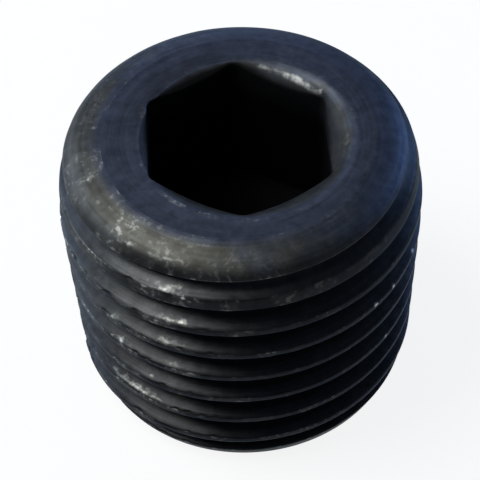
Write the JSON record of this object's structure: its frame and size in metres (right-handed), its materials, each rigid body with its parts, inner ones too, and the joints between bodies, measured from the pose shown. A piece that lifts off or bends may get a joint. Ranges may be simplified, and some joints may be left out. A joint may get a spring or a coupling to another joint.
{
  "type": "hex socket plug",
  "caption": "Headless taper-threaded pipe plug with a rounded crown, a flat ring and a countersunk hex key socket.",
  "frame": {"origin": "centre of the small end's flat face", "axes": "+Z along the plug's axis from the small end to the socket's mouth, with two of the socket's six flats facing +X and -X and the countersink's centre off the axis, 0.37 mm towards +X and 0.1 mm towards -Y"},
  "size_m": [0.0132, 0.0132, 0.0111],
  "materials": {
    "black_steel": "satin black oxide"
  },
  "bodies": {
    "root": {"plug_body": "black_steel"}
  },
  "joints": []
}
